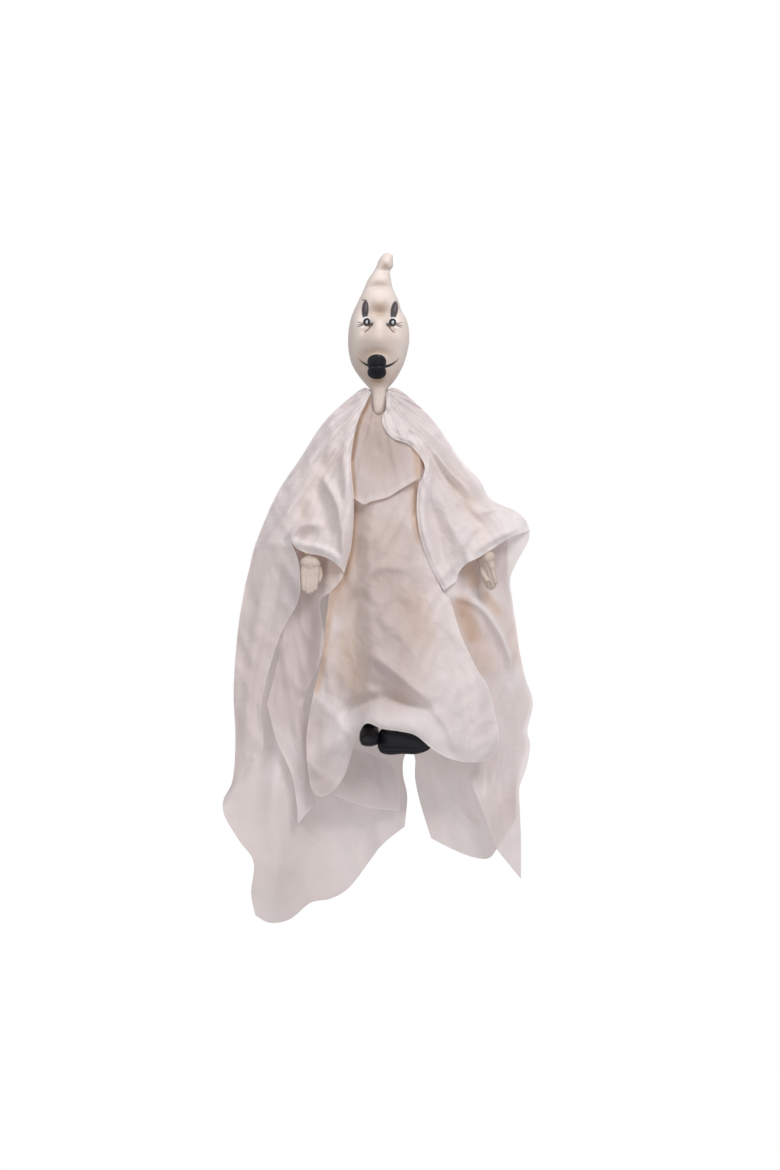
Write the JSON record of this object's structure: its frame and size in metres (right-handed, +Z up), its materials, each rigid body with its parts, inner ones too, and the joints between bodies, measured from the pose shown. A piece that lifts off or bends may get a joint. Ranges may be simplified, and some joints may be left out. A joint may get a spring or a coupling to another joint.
{
  "type": "hanging ghost doll",
  "caption": "Hanging ghost doll with a cast drop-shaped head, cast hands and black shoes on a stuffed body, in a long sheer robe with bell sleeves and trailing corners.",
  "frame": {"origin": "top of the curled tip of the head, where the doll is hung from", "axes": "+Z up, the doll faces -Y, +X to the right as seen from the front"},
  "size_m": [0.2323, 0.085, 0.503],
  "materials": {
    "bisque": "matte unglazed, warm beige, with painted features",
    "cream_cloth": "plain woven cream cotton over stuffing",
    "muslin": "thin sheer pinkish-white muslin",
    "black_glaze": "black satin"
  },
  "bodies": {
    "root": {"head": "bisque", "hand_left": "bisque", "hand_right": "bisque", "torso": "cream_cloth", "arm_left": "cream_cloth", "arm_right": "cream_cloth", "leg_left": "cream_cloth", "leg_right": "cream_cloth", "robe_back": "muslin", "robe_left": "muslin", "robe_right": "muslin", "sleeve_back_left": "muslin", "sleeve_back_right": "muslin", "gown_front": "muslin", "bib": "muslin", "shoe_left": "black_glaze", "shoe_right": "black_glaze"}
  },
  "joints": []
}
